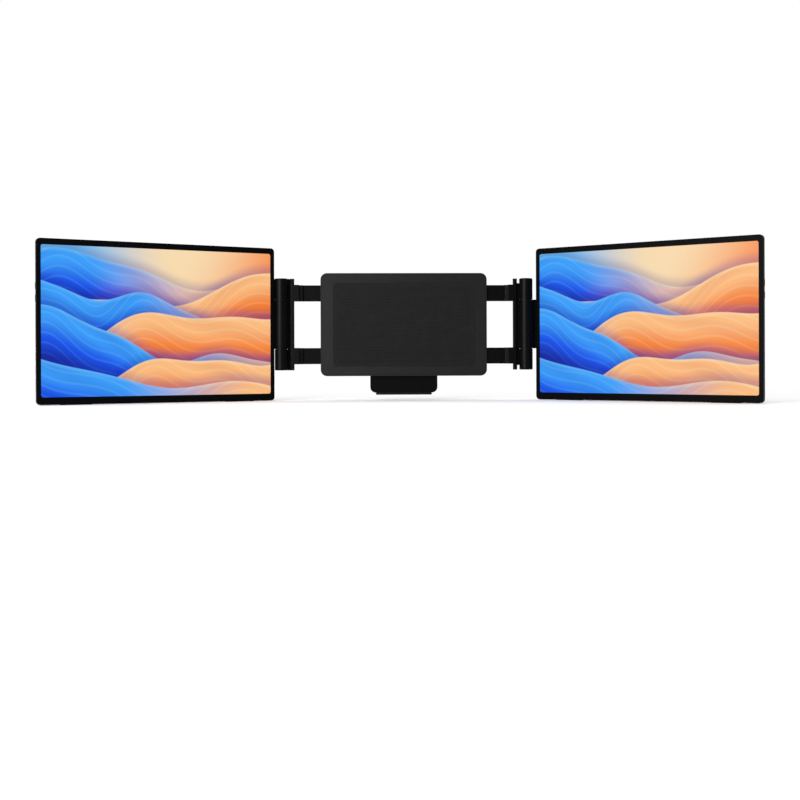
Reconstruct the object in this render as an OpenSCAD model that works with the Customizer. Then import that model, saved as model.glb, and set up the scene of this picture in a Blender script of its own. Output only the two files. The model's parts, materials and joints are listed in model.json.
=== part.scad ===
// Laptop screen extender: two hinged screens on a telescoping clamp that grips a laptop lid.
// Millimetres. +X to the right, +Y away from the user, +Z up. The origin is the centre of the
// mat's front face, the plane against which the back of the laptop's lid rests.

/* [Display panel] */
// Width of the lit picture
panel_w = 312.3; // [300:0.1:345]
// Height of the lit picture
panel_h = 195.2; // [180:0.1:225]
// Dark border of the panel that the bezel hides
panel_border = 2; // [1:0.1:2.2]
// Thickness of the display glass
glass_t = 1; // [0.6:0.1:1.3]
// Thickness of the backlight
backlight_t = 1.8; // [1.2:0.1:1.8]
// Thickness of the steel midframe
midframe_t = 0.6; // [0.4:0.1:0.6]

/* [Screen casing] */
// Thickness of a screen
screen_t = 9; // [9:0.1:12]
// Bezel beside the picture
bezel_side = 5.6; // [4.4:0.05:12]
// Bezel above the picture
bezel_top = 8; // [7.5:0.1:20]
// Bezel below the picture
bezel_bottom = 9.7; // [9:0.1:25]
// Radius of the screen's corners
corner_r = 5; // [3:0.5:6]
// Radius of the picture's corners
picture_r = 2.6; // [0.5:0.1:3]
// Thickness of the lip in front of the glass
lip_depth = 0.9; // [0.6:0.1:0.9]
// Thickness of the front frame at its rim
frame_t = 1.6; // [1.4:0.1:2]
// Side wall of the rear cover
cover_wall = 1.8; // [1.4:0.1:2]
// Back wall of the rear cover
cover_back = 1.3; // [1:0.1:1.6]
// Rounding of the rear cover's back edge
cover_round = 2.5; // [1:0.1:3]

/* [Barrel hinges] */
// Radius of the hinge barrels
barrel_r = 9.4; // [8.5:0.1:11]
// Height of a whole hinge
hinge_h = 129; // [115:1:150]
// Height of the middle knuckle
middle_h = 68.8; // [60:0.1:76]
// Seam between two knuckles
seam = 0.6; // [0.5:0.1:1]
// Radius of the hinge pin
pin_r = 3; // [2.5:0.1:3.5]
// Radius of the bushes round the pin
bush_r = 5; // [4.5:0.1:6]
// Length of a bush
bush_len = 14; // [8:1:20]
// Gap from the barrel to the screen's inner edge
barrel_gap = 1.7; // [1.4:0.1:6]
// Turn of the left screen towards the user
left_yaw = 27; // [0:1:60]
// Turn of the right screen towards the user
right_yaw = 36.5; // [0:0.5:60]
// Friction discs in each hinge
discs = 5; // [3:1:6]
// Thickness of one friction disc
disc_t = 0.7; // [0.5:0.1:0.8]

/* [Clamp] */
// Depth of the slot that takes the lid
lid_slot = 6; // [5:0.1:8]
// Thickness of the claw's front lip
lip_t = 1.2; // [1:0.1:2]
// How far a lip reaches over the lid
lip_reach = 4.5; // [3:0.1:7]
// Height of a claw
claw_h = 23; // [18:0.5:26]
// Height of the claws above and below the middle
claw_z = 44.5; // [42:0.5:48]
// Width of the column's upright plate
plate_w = 5.3; // [3:0.1:6]
// Gap from the upright plate to the barrel
plate_gap = 2.8; // [2:0.1:5]
// Gap from the lid's edge to the upright plate
lid_gap = 2.8; // [2.2:0.1:5]
// Step of the right column's web below its top and above its foot
web_step = 6.4; // [4:0.1:9]
// Thickness of a slide arm
arm_t = 3; // [2:0.1:3.5]
// Height of a slide arm
arm_h = 22.8; // [18:0.1:24]
// Travel of each clamp
slide_travel = 50; // [20:1:60]

/* [Centre unit] */
// Width of the centre unit
unit_w = 236; // [220:1:240]
// Height of the centre unit
unit_h = 146; // [136:1:170]
// Depth of the centre unit's back behind the lid
unit_back = 16; // [16:0.1:20]
// Radius of the centre unit's corners
unit_corner = 9; // [6:0.5:14]
// Wall of the back shell
shell_wall = 2.1; // [1.8:0.1:2.5]
// Thickness of the front cover
front_cover_t = 2.3; // [2:0.1:2.5]
// Width of the lid mat
mat_w = 200; // [150:1:210]
// Height of the lid mat
mat_h = 118; // [90:1:124]
// Thickness of the lid mat
mat_t = 1.2; // [1:0.1:1.4]

/* [Kickstand] */
// Width of the kickstand leg
kick_w = 96; // [80:1:110]
// Length of the leg below its hinge
kick_len = 134; // [110:1:136]
// Thickness of the leg
kick_t = 3; // [2.4:0.1:3.2]
// Height of the leg's hinge above the middle
kick_z = 34; // [28:0.5:40]
// Radius of the leg's knuckle
kick_r = 2.8; // [2.6:0.1:3]
// Radius of the kickstand pin
kick_pin_r = 1.5; // [1.2:0.1:1.6]

/* [Sockets and buttons] */
// Height of the upper button's middle
button_z = 46; // [30:1:70]
// Distance between the two buttons
button_pitch = 16; // [14:1:24]
// Length of a button
button_len = 9; // [7:0.5:11]
// Travel of a button
button_travel = 0.6; // [0.3:0.1:0.8]
// Height of the upper socket's middle
socket_z = -36; // [-60:1:-20]
// Distance between two sockets
socket_pitch = 17; // [14:1:22]

/* [Clearances] */
// Gap between the folded screens
stack_gap = 1.3; // [1:0.1:2]
// Gap between a folded screen and what it folds over
fold_gap = 0.8; // [0.6:0.1:2]
// Gap between a folded screen's edge and the far barrel
end_gap = 1; // [0.8:0.1:3]
// Running clearance of pins and shafts, on the radius
running = 0.05; // [0.02:0.01:0.09]
// Clearance of parts that slide or drop in
slip = 0.15; // [0.1:0.01:0.25]

/* [Hidden] */

LEFT = -1;
RIGHT = 1;
ROUND = 72;       // facets of large rounds
FINE = 36;        // facets of small rounds
ARC_STEPS = 6;    // segments in a quarter of an outline's corner
ROUND_STEPS = 4;  // rings in a rounded edge
THROUGH = 1;      // how far a cut runs past the face it opens
BITE = 0.5;       // how far a piece runs into the one it is moulded to
THREAD = 0.02;    // gap round a screw in the hole that it is driven into
PRESS = 0.01;     // gap round a pressed pin or bush

BLACK = "#17181b";
SATIN = "#222327";
STEEL = "#9a9da3";
RUBBER = "#2c2d30";
GREEN = "#1f5a3c";

// Screen outline
screen_w = panel_w + 2 * bezel_side;
screen_h = panel_h + bezel_top + bezel_bottom;
picture_z = (bezel_bottom - bezel_top) / 2;

// Corners of the layers of the panel
panel_corner = 1;

// Depths in a screen, from its front face
glass_back = lip_depth + glass_t;
backlight_back = glass_back + backlight_t;
midframe_back = backlight_back + midframe_t;
tongue_t = 2.4;
tongue_back = midframe_back + tongue_t;
cover_floor = screen_t - cover_back;
board_t = 1.2;
socket_t = 3.2;
socket_mid = midframe_back + 0.05 + socket_t / 2;

// Hinge axis, set by how the two screens fold over the lid and each other
left_face = 1;
right_face = left_face - screen_t - stack_gap;
edge_gap = barrel_r + barrel_gap;
hinge_y = -(lid_slot + lip_t + fold_gap + left_face);
hinge_x = (edge_gap + screen_w + barrel_r + end_gap) / 2;
outer_z = middle_h / 2 + seam;
web_front = -4;
web_back = hinge_y + barrel_r;
head_r = pin_r + 2.6;
socket_r = head_r + 0.8;
head_t = 3;
cap_t = 2.5;
cap_r = socket_r - running;
cap_chamfer = 0.4;
head_depth = cap_t + 0.5 + head_t;
knuckle_rim = 1.4;
knuckle_clear = 1;
flange_clear = 0.6;
flange_drop = 0.8;
bush_flange_inset = 1;
seam_gap = 0.1;
stack_depth = cap_t + 2 + 4 + discs * disc_t;
nut_h = 4;
nut_r = 5.2;

// Clamp, inwards from the hinge
plate_out = hinge_x - barrel_r - plate_gap;
plate_in = plate_out - plate_w;
lid_half = plate_in - lid_gap;
liner_t = 0.6;
back_liner_t = 1;
lip_liner_t = 0.4;
lid_play = 0.3;
claw_reach = 9;
claw_t = 3;
claw_side = lid_half + lid_play + liner_t;
claw_in = lid_half - claw_reach;
claw_back = back_liner_t + claw_t;
arm_y = claw_back;
arm_in = 9;
arm_corner = 2;
arm_end_gap = 1.5;
arm_out = plate_out - arm_end_gap;
arm_screw_places = [plate_in - 1.5, claw_in + 4];
screw_r = 1.25;
screw_head_r = 2.3;
screw_head_t = 1.3;
claw_skin = 0.4;
arm_screw_bite = 2.4;
liner_edge = 0.5;
liner_lip = 1;
plate_round = 1.2;
claw_round = 1.6;

// Centre unit
cover_front = 0.9;
cover_rear = cover_front + front_cover_t;
cover_skin = 0.4;
screw_tip = 0.5;
mat_corner = 6;
mat_clear = 0.1;
guide_wall = 0.7;
guide_run = 0.1;
guide_floor = 2.1;
guide_rim = 2.6;
guide_lip = 3;
guide_end = 0.5;
guide_y = arm_y - guide_wall - guide_run;
guide_back = arm_y + arm_t + guide_run + guide_floor;
guide_h = arm_h + 2 * guide_rim;
guide_w = unit_w - 2 * (shell_wall + slip + guide_end);
stop_x = arm_in + 8;
stop_r = 1.5;
stop_clear = 0.4;
pad_x = 98;
pad_size = [16, 10];
pad_lift = 0.05;
shell_round = 3;
inner_end = unit_back - 1;
slot_clear = 0.3;
post_r = 3.2;
rib_places = [108, 60];
rib_t = 1.6;
screw_sink = 2.4;
posts = [[104, 65], [-104, 65], [104, -65], [-104, -65], [72, 0], [-72, 0]];

// Kickstand and its recess
kick_y = unit_back - 2;
kick_knuckle = 20;
kick_ear = 8;
kick_gap = 0.3;
kick_room = 0.5;
leg_gap = 0.2;
kick_front = unit_back - leg_gap - kick_t;
leg_corner = 8;
leg_top = kick_r + 1.6;
leg_neck = 9;
kick_foot_h = 3;
kick_foot_corner = 1;
recess_floor = kick_front - leg_gap;
recess_w = kick_w + 3;
recess_wall = 2;
recess_top = kick_z + kick_r + 0.9;
hinge_pad_drop = 6;
hinge_pad_side = 1;
notch_r = 7;
notch_out = 4;
notch_z = -40;

// Screws of a screen stand in the bezel above and below the panel
post_edge = 3.95;
screen_post_r = 1.8;
screen_screw_r = 0.85;
screen_head_r = 1.75;
screen_post_inset = 12;
screen_post_places = [screen_post_inset - screen_w / 2, 0, screen_w / 2 - screen_post_inset];
screen_screw_sink = 0.8;
screen_post_floor = 0.6;
small_head_t = 0.6;

// Tongue of the hinge leaf, screwed to the midframe
tongue_h = 60;
tongue_reach = 28;
tongue_screws = [for (x = [10, 20], z = [-20, 20]) [x, z]];
tongue_screw_r = 1.2;
tongue_head_r = 2.2;

// Block of the hinge leaf beside the middle knuckle
block_in = barrel_r - 4.4;
block_out = edge_gap - 0.1;
block_round = 1.5;
flange_t = 5;

// Controller board, with its sockets and side switches in the outer edge
board_w = 70;
board_h = 128;
board_gap = 3.4;
board_edge = screen_w / 2 - cover_wall - board_gap;
board_post_r = 2;
board_inset = 5;
board_posts = [for (dx = [board_inset, board_w - board_inset], end = [LEFT, RIGHT])
    [board_edge - dx, end * (board_h / 2 - board_inset)]];
chip_t = 0.8;
power_chip_pitch = 11;
// Shielded processor, memory and power parts: distance from the board's edge, foot, width, height
chips = concat([[48, 6, 24, 24], [52, -34, 12, 18]],
    [for (i = [0:3]) [30, i * power_chip_pitch - 50, 7, 6]]);
socket_w = 9;
socket_len = 7;
socket_shell_t = 0.35;
socket_inset = 0.5;
socket_overhang = 2.2;
contact_bar = [5.6, 0.7, 6.6];
socket_places = [for (i = [0:2]) socket_z - i * socket_pitch];
button_places = [button_z, button_z - button_pitch];
button_w = 2.4;
button_flange_t = 0.8;
button_flange = 0.8;
button_proud = 0.4;
plunger_size = [1.2, 2];
switch_out = 1.2;
switch_in = 2;
switch_size = [2, 4];

// Vents and feet of a rear cover
vents = 14;
vent_pitch = 7;
vent_w = 2;
vent_h = 14;
vent_z = 62;
groove = 0.4;
foot_len = 40;
foot_w = 4;
foot_y = 3;
foot_proud = 0.5;
foot_seat = 0.5;
foot_inset = 30;
foot_places = [for (end = [LEFT, RIGHT]) end * (screen_w / 2 - foot_inset - foot_len / 2)];

// Window of the kickstand leg
window_side = 22;
window_top = 26;
window_foot = 36;

function face_y(side) = side == LEFT ? -left_face : -right_face;
function yaw(side) = side == LEFT ? left_yaw : right_yaw;

// ---------------------------------------------------------------- shared shapes

function arc(cx, cy, r, from, to, steps = ARC_STEPS) =
    [for (i = [0:steps]) let (a = from + (to - from) * i / steps) [cx + r * cos(a), cy + r * sin(a)]];

function round_rect(w, h, r) = concat(
    arc(w / 2 - r, h / 2 - r, r, 0, 90),
    arc(r - w / 2, h / 2 - r, r, 90, 180),
    arc(r - w / 2, r - h / 2, r, 180, 270),
    arc(w / 2 - r, r - h / 2, r, 270, 360)
);

// Turns a shape drawn in X-Y and raised along Z into one that stands in X-Z and runs back along Y
module upright() {
    multmatrix([[1, 0, 0, 0], [0, 0, 1, 0], [0, 1, 0, 0]]) children();
}

module standing_plate(w, h, r, t) {
    upright() linear_extrude(t) polygon(round_rect(w, h, r));
}

module standing_rod(x, y, z, r, len, facets = FINE) {
    translate([x, y, z]) rotate([-90, 0, 0]) cylinder(r = r, h = len, $fn = facets);
}

// A standing plate whose back edge is rounded
module standing_slab(w, h, r, t, edge) {
    rings = concat([[0, 0]], [for (k = [0:ROUND_STEPS]) let (a = 90 * k / ROUND_STEPS)
        [t - edge + edge * sin(a), edge * (1 - cos(a))]]);
    count = 4 * (ARC_STEPS + 1);
    points = [for (ring = rings, p = round_rect(w - 2 * ring[1], h - 2 * ring[1], r - ring[1]))
        [p[0], p[1], ring[0]]];
    sides = [for (k = [0:len(rings) - 2], i = [0:count - 1]) let (j = (i + 1) % count)
        [k * count + i, (k + 1) * count + i, (k + 1) * count + j, k * count + j]];
    front = [for (i = [0:count - 1]) i];
    back = [for (i = [0:count - 1]) len(points) - 1 - i];
    upright() polyhedron(points, concat([front], sides, [back]));
}

// A slot with round ends, centred, running along Z and cut back along Y
module standing_slot(w, h, t) {
    upright() linear_extrude(t) polygon(round_rect(w, h, min(w, h) / 2 - 0.01));
}

// ---------------------------------------------------------------- places

module on_side(side) {
    if (side == LEFT) mirror([1, 0, 0]) children();
    else children();
}

// The turning frame of a screen: the hinge axis is Z, the screen runs out along +X
module on_axis(side) {
    on_side(side) translate([hinge_x, hinge_y, 0]) rotate([0, 0, -yaw(side)]) children();
}

// The same frame with the middle of the screen's front face as origin
module on_screen(side) {
    on_axis(side) translate([edge_gap + screen_w / 2, face_y(side), 0]) children();
}

// ---------------------------------------------------------------- centre unit

module lid_mat() {
    color(RUBBER) standing_plate(mat_w, mat_h, mat_corner, mat_t);
}

module front_cover() {
    inset = 2 * (shell_wall + slip);
    color(BLACK) difference() {
        translate([0, cover_front, 0])
            standing_plate(unit_w - inset, unit_h - inset, unit_corner - inset / 2, front_cover_t);
        translate([0, mat_t - THROUGH, 0])
            standing_plate(mat_w + 2 * mat_clear, mat_h + 2 * mat_clear, mat_corner, THROUGH);
        for (p = posts)
            standing_rod(p[0], mat_t + cover_skin, p[1], screw_r + running, front_cover_t);
    }
}

module kick_knuckle_room(extra, len) {
    translate([-len / 2, kick_y, kick_z]) rotate([0, 90, 0])
        cylinder(r = kick_r + extra, h = len, $fn = FINE);
}

module back_shell() {
    inner_w = unit_w - 2 * shell_wall;
    inner_h = unit_h - 2 * shell_wall;
    ear_span = 2 * (kick_knuckle + kick_ear);
    // The recess stays clear of the rounded lower edge
    recess_foot = 1 - unit_h / 2;
    slot_h = arm_h + 2 * slot_clear;
    color(BLACK) difference() {
        union() {
            difference() {
                translate([0, cover_front, 0])
                    standing_slab(unit_w, unit_h, unit_corner, unit_back - cover_front,
                        shell_round);
                translate([0, cover_front - THROUGH, 0])
                    standing_plate(inner_w, inner_h, unit_corner - shell_wall,
                        unit_back - shell_wall - cover_front + THROUGH);
            }
            // Floor and sides of the recess for the kickstand leg
            translate([-recess_w / 2 - recess_wall, recess_floor - recess_wall, recess_foot])
                cube([recess_w + 2 * recess_wall, unit_back - recess_floor,
                    recess_top + recess_wall - recess_foot]);
            // Thick pad below the kickstand's hinge
            translate([-ear_span / 2 - hinge_pad_side, guide_back + slip, kick_z - hinge_pad_drop])
                cube([ear_span + 2 * hinge_pad_side, recess_floor - guide_back - slip,
                    recess_top + recess_wall - kick_z + hinge_pad_drop]);
            for (p = posts)
                standing_rod(p[0], cover_rear, p[1], post_r, inner_end - cover_rear);
            // Ribs that hold the guides against the cover
            for (side = [LEFT, RIGHT], x = rib_places, z = [-claw_z, claw_z])
                translate([side * x - rib_t / 2, guide_back, z - guide_h / 2])
                    cube([rib_t, inner_end - guide_back, guide_h]);
            // Backs of the friction pads
            for (x = [-pad_x, pad_x], z = [-claw_z, claw_z])
                translate([x - pad_size[0] / 2, guide_back, z - pad_size[1] / 2])
                    cube([pad_size[0], inner_end - guide_back, pad_size[1]]);
        }
        // Recess for the leg, open at the bottom
        translate([-recess_w / 2, recess_floor, -unit_h])
            cube([recess_w, unit_back, unit_h + recess_top]);
        kick_knuckle_room(kick_room, 2 * (kick_knuckle + kick_gap));
        kick_knuckle_room(kick_pin_r + running - kick_r, ear_span + THROUGH);
        // Slots through which the arms slide
        for (z = [-claw_z, claw_z])
            translate([-unit_w, arm_y - slip, z - slot_h / 2])
                cube([2 * unit_w, arm_t + 2 * slip, slot_h]);
        for (p = posts) {
            standing_rod(p[0], 0, p[1], screw_r + running, unit_back + THROUGH);
            standing_rod(p[0], unit_back - screw_sink, p[1], screw_head_r + slip, unit_back);
        }
        // Finger notch at the leg's edge
        translate([recess_w / 2, unit_back + notch_out, notch_z]) sphere(r = notch_r, $fn = FINE);
    }
    color(BLACK) kickstand_ears();
}

module kickstand_ears() {
    for (side = [LEFT, RIGHT]) on_side(side) difference() {
        union() {
            translate([kick_knuckle + kick_gap, kick_y, kick_z]) rotate([0, 90, 0])
                cylinder(r = kick_r, h = kick_ear, $fn = FINE);
            translate([kick_knuckle + kick_gap, recess_floor - BITE, kick_z - kick_r])
                cube([kick_ear, kick_y - recess_floor + BITE, 2 * kick_r]);
        }
        translate([kick_knuckle - THROUGH, kick_y, kick_z]) rotate([0, 90, 0])
            cylinder(r = kick_pin_r + running, h = kick_ear + 2 * THROUGH, $fn = FINE);
    }
}

module guide(level) {
    z = level * claw_z;
    cut = guide_run + guide_floor + THROUGH;
    color(SATIN) difference() {
        translate([-guide_w / 2, guide_y, z - guide_h / 2])
            cube([guide_w, guide_back - guide_y, guide_h]);
        // Channel for the two arms
        translate([-guide_w, arm_y - guide_run, z - arm_h / 2 - guide_run])
            cube([2 * guide_w, arm_t + 2 * guide_run, arm_h + 2 * guide_run]);
        // Open front between the lips
        translate([-guide_w, guide_y - THROUGH, z - arm_h / 2 + guide_lip])
            cube([2 * guide_w, guide_wall + 2 * THROUGH, arm_h - 2 * guide_lip]);
        for (side = [LEFT, RIGHT]) on_side(side) {
            // Slot that stops the arm's pin at both ends of its travel
            translate([stop_x + slide_travel / 2, arm_y + arm_t, z])
                standing_slot(slide_travel + 2 * (stop_r + slip), 2 * (stop_r + slip), cut);
            // Pocket for the friction pad
            translate([pad_x - pad_size[0] / 2 - slip, arm_y + arm_t, z - pad_size[1] / 2 - slip])
                cube([pad_size[0] + 2 * slip, cut, pad_size[1] + 2 * slip]);
        }
    }
}

module slide_friction_pads() {
    for (x = [-pad_x, pad_x], z = [-claw_z, claw_z])
        color(RUBBER)
            translate([x - pad_size[0] / 2, arm_y + arm_t + pad_lift, z - pad_size[1] / 2])
                cube([pad_size[0], guide_back - arm_y - arm_t - pad_lift, pad_size[1]]);
}

// A pan head screw whose head looks back along +Y
module pan_screw(x, head_y, z, shank_r, shank_len, head_r, head_t) {
    difference() {
        union() {
            standing_rod(x, head_y - shank_len, z, shank_r, shank_len + head_t / 2);
            standing_rod(x, head_y, z, head_r, head_t);
        }
        standing_rod(x, head_y + head_t / 3, z, head_r / 2, head_t, 6);
    }
}

module centre_screws() {
    head_y = unit_back - screw_sink;
    for (p = posts)
        color(STEEL) pan_screw(p[0], head_y, p[1], screw_r, head_y - mat_t - screw_tip,
            screw_head_r, screw_head_t);
}

// ---------------------------------------------------------------- kickstand

module kickstand_pin() {
    span = 2 * (kick_knuckle + kick_gap + kick_ear);
    color(STEEL) translate([-span / 2, kick_y, kick_z]) rotate([0, 90, 0])
        cylinder(r = kick_pin_r, h = span, $fn = FINE);
}

module kickstand_leg() {
    plate_h = kick_len - kick_foot_h - leg_top;
    window_w = kick_w - 2 * window_side;
    window_h = plate_h - window_top - window_foot;
    color(SATIN) difference() {
        union() {
            translate([0, kick_front, kick_z - leg_top - plate_h / 2])
                standing_plate(kick_w, plate_h, leg_corner, kick_t);
            translate([-kick_knuckle, kick_front, kick_z - leg_top - leg_neck])
                cube([2 * kick_knuckle, kick_t, leg_top + leg_neck]);
            kick_knuckle_room(0, 2 * kick_knuckle);
        }
        translate([0, kick_front - THROUGH, kick_z - leg_top - window_top - window_h / 2])
            standing_plate(window_w, window_h, leg_corner, kick_t + 2 * THROUGH);
        translate([-kick_knuckle - THROUGH, kick_y, kick_z]) rotate([0, 90, 0])
            cylinder(r = kick_pin_r + running, h = 2 * (kick_knuckle + THROUGH), $fn = FINE);
    }
}

module kickstand_foot() {
    color(RUBBER) translate([0, kick_front, kick_z - kick_len + kick_foot_h / 2])
        standing_plate(kick_w - 2 * leg_corner, kick_foot_h, kick_foot_corner, kick_t);
}

// ---------------------------------------------------------------- clamps

// Outline of a claw seen from above: a C that opens towards the lid
function claw_outline() = concat(
    [[claw_in, claw_back], [claw_in, back_liner_t], [claw_side, back_liner_t],
        [claw_side, -lid_slot], [lid_half - lip_reach, -lid_slot]],
    arc(lid_half - lip_reach + lip_t / 2, -lid_slot - lip_t / 2, lip_t / 2, 180, 270, 3),
    arc(plate_out - claw_round, -lid_slot - lip_t + claw_round, claw_round, 270, 360, 4),
    [[plate_out, claw_back]]
);

// Outline of the upright plate seen from above, with rounded front corners
function plate_outline() = concat(
    [[plate_out, 1], [plate_in, 1]],
    arc(plate_in + plate_round, plate_round - lid_slot - 1, plate_round, 180, 270, 4),
    arc(plate_out - plate_round, plate_round - lid_slot - 1, plate_round, 270, 360, 4)
);

// One outer knuckle, its open end up, with a rounded rim
module outer_knuckle(depth) {
    difference() {
        rotate_extrude($fn = ROUND) polygon(concat(
            [[0, outer_z], [barrel_r, outer_z]],
            arc(barrel_r - knuckle_rim, hinge_h / 2 - knuckle_rim, knuckle_rim, 0, 90, 4),
            [[0, hinge_h / 2]]
        ));
        translate([0, 0, outer_z - THROUGH])
            cylinder(r = pin_r + running, h = hinge_h, $fn = FINE);
        translate([0, 0, hinge_h / 2 - depth]) cylinder(r = socket_r, h = hinge_h, $fn = FINE);
    }
}

module column(side) {
    // The right column's web stops short of its ends
    web_top = hinge_h / 2 - (side == LEFT ? 0 : web_step);
    color(SATIN) on_side(side) difference() {
        union() {
            translate([0, 0, -hinge_h / 2]) linear_extrude(hinge_h) polygon(plate_outline());
            // Web behind the barrel, cut back where the leaf turns
            for (end = [LEFT, RIGHT]) scale([1, 1, end])
                translate([plate_out - 1, web_front, outer_z])
                    cube([hinge_x - plate_out - 2, web_back - web_front, web_top - outer_z]);
            translate([plate_out - 1, web_front, -outer_z - 1])
                cube([hinge_x - barrel_r - plate_out + 2, web_back - web_front, 2 * outer_z + 2]);
            for (z = [-claw_z, claw_z])
                translate([0, 0, z - claw_h / 2]) linear_extrude(claw_h) polygon(claw_outline());
        }
        // Clears the turning middle knuckle
        translate([hinge_x, hinge_y, -outer_z])
            cylinder(r = barrel_r + knuckle_clear, h = 2 * outer_z, $fn = ROUND);
        translate([hinge_x, hinge_y, -hinge_h])
            cylinder(r = barrel_r - BITE, h = 2 * hinge_h, $fn = ROUND);
        for (x = arm_screw_places, z = [-claw_z, claw_z])
            standing_rod(x, back_liner_t + claw_skin, z, screw_r + THREAD, claw_back);
    }
    color(SATIN) on_side(side) translate([hinge_x, hinge_y, 0]) {
        outer_knuckle(head_depth);
        mirror([0, 0, 1]) outer_knuckle(stack_depth);
    }
}

module claw_liners(side) {
    h = claw_h - 2 * liner_edge;
    gap = lid_half - lip_reach + liner_lip;
    outline = [
        [claw_in + liner_edge, back_liner_t], [claw_in + liner_edge, 0], [claw_side - liner_t, 0],
        [claw_side - liner_t, -lid_slot + lip_liner_t], [gap, -lid_slot + lip_liner_t],
        [gap, -lid_slot], [claw_side, -lid_slot], [claw_side, back_liner_t]
    ];
    color(RUBBER) on_side(side) for (z = [-claw_z, claw_z])
        translate([0, 0, z - h / 2]) linear_extrude(h) polygon(outline);
}

module slide_arm(side, level) {
    z = level * claw_z;
    color(STEEL) on_side(side) difference() {
        translate([(arm_in + arm_out) / 2, arm_y, z])
            standing_plate(arm_out - arm_in, arm_h, arm_corner, arm_t);
        for (x = arm_screw_places)
            standing_rod(x, arm_y - THROUGH, z, screw_r + running, arm_t + 2 * THROUGH);
        standing_rod(stop_x, arm_y - THROUGH, z, stop_r + PRESS, arm_t + 2 * THROUGH);
    }
}

module arm_screws(side) {
    color(STEEL) on_side(side) for (x = arm_screw_places, z = [-claw_z, claw_z])
        pan_screw(x, arm_y + arm_t, z, screw_r, arm_t + arm_screw_bite, screw_head_r, screw_head_t);
}

module stop_pins(side) {
    color(STEEL) on_side(side) for (z = [-claw_z, claw_z])
        standing_rod(stop_x, arm_y, z, stop_r, guide_back - arm_y - stop_clear);
}

// ---------------------------------------------------------------- hinges

module hinge_pin(side) {
    head_z = hinge_h / 2 - head_depth;
    foot_z = -hinge_h / 2 + cap_t + 0.8;
    color(STEEL) on_side(side) translate([hinge_x, hinge_y, 0]) {
        translate([0, 0, foot_z]) cylinder(r = pin_r, h = head_z - foot_z + 1, $fn = FINE);
        translate([0, 0, head_z]) cylinder(r = head_r, h = head_t, $fn = FINE);
    }
}

module friction_discs(side) {
    color(STEEL) on_side(side) translate([hinge_x, hinge_y, -hinge_h / 2 + stack_depth])
        for (i = [0:discs - 1]) translate([0, 0, -(i + 1) * disc_t]) difference() {
            cylinder(r = head_r + (i % 2 == 0 ? 0.4 : 0), h = disc_t, $fn = FINE);
            translate([0, 0, -THROUGH])
                cylinder(r = pin_r + running, h = disc_t + 2 * THROUGH, $fn = FINE);
        }
}

module hinge_nut(side) {
    top = -hinge_h / 2 + stack_depth - discs * disc_t;
    color(STEEL) on_side(side) translate([hinge_x, hinge_y, top - nut_h]) difference() {
        cylinder(r = nut_r, h = nut_h, $fn = 6);
        translate([0, 0, -THROUGH])
            cylinder(r = pin_r + PRESS, h = nut_h + 2 * THROUGH, $fn = FINE);
    }
}

module hinge_caps(side) {
    color(BLACK) on_side(side) translate([hinge_x, hinge_y, 0]) for (end = [0, 1])
        mirror([0, 0, end]) translate([0, 0, hinge_h / 2 - cap_t]) {
            cylinder(r = cap_r, h = cap_t - cap_chamfer, $fn = FINE);
            translate([0, 0, cap_t - cap_chamfer])
                cylinder(r1 = cap_r, r2 = cap_r - 0.45, h = cap_chamfer, $fn = FINE);
        }
}

module hinge_bushes(side) {
    color(STEEL) on_axis(side) for (end = [0, 1]) mirror([0, 0, end]) difference() {
        union() {
            translate([0, 0, middle_h / 2 - bush_len]) cylinder(r = bush_r, h = bush_len, $fn = FINE);
            translate([0, 0, middle_h / 2])
                cylinder(r = barrel_r - bush_flange_inset, h = seam - seam_gap, $fn = FINE);
        }
        translate([0, 0, middle_h / 2 - bush_len - THROUGH])
            cylinder(r = pin_r + running, h = bush_len + 2 * THROUGH, $fn = FINE);
    }
}

// The screen's half of the hinge: middle knuckle, block beside it and tongue into the screen
module leaf(side) {
    back = face_y(side) + tongue_back;
    // The right leaf steps back where the folded left screen's edge lies beside it
    step_out = barrel_r + end_gap - 1;
    step_y = screen_t - left_face + stack_gap / 2;
    front = side == LEFT ? 0 : 4;
    outline = side == LEFT
        ? concat([[block_in, back], [block_in, front]],
            arc(block_out - block_round, front + block_round, block_round, 270, 360, 4),
            [[block_out, back]])
        : concat([[block_in, back], [block_in, front]],
            arc(step_out - block_round, front + block_round, block_round, 270, 360, 4),
            [[step_out, step_y], [block_out, step_y], [block_out, back]]);
    color(BLACK) on_axis(side) {
        difference() {
            union() {
                translate([0, 0, -middle_h / 2]) cylinder(r = barrel_r, h = middle_h, $fn = ROUND);
                translate([0, 0, -middle_h / 2]) linear_extrude(middle_h) polygon(outline);
                translate([block_out - 2, back - tongue_t, -tongue_h / 2])
                    cube([tongue_reach, tongue_t, tongue_h]);
                // The left leaf's flange runs up beside the upper knuckle
                if (side == LEFT) translate([barrel_r + flange_clear, front, 0])
                    cube([block_out - barrel_r - flange_clear, flange_t,
                        hinge_h / 2 - flange_drop]);
            }
            translate([0, 0, -hinge_h]) cylinder(r = bush_r + PRESS, h = 2 * hinge_h, $fn = FINE);
            for (p = tongue_screws)
                standing_rod(edge_gap + p[0], back - tongue_t - THROUGH, p[1],
                    tongue_screw_r + running, tongue_t + 2 * THROUGH);
        }
    }
}

module leaf_screws(side) {
    color(STEEL) on_screen(side) for (p = tongue_screws)
        pan_screw(p[0] - screen_w / 2, tongue_back, p[1], tongue_screw_r,
            tongue_t + midframe_t, tongue_head_r, small_head_t);
}

// ---------------------------------------------------------------- screens

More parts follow.
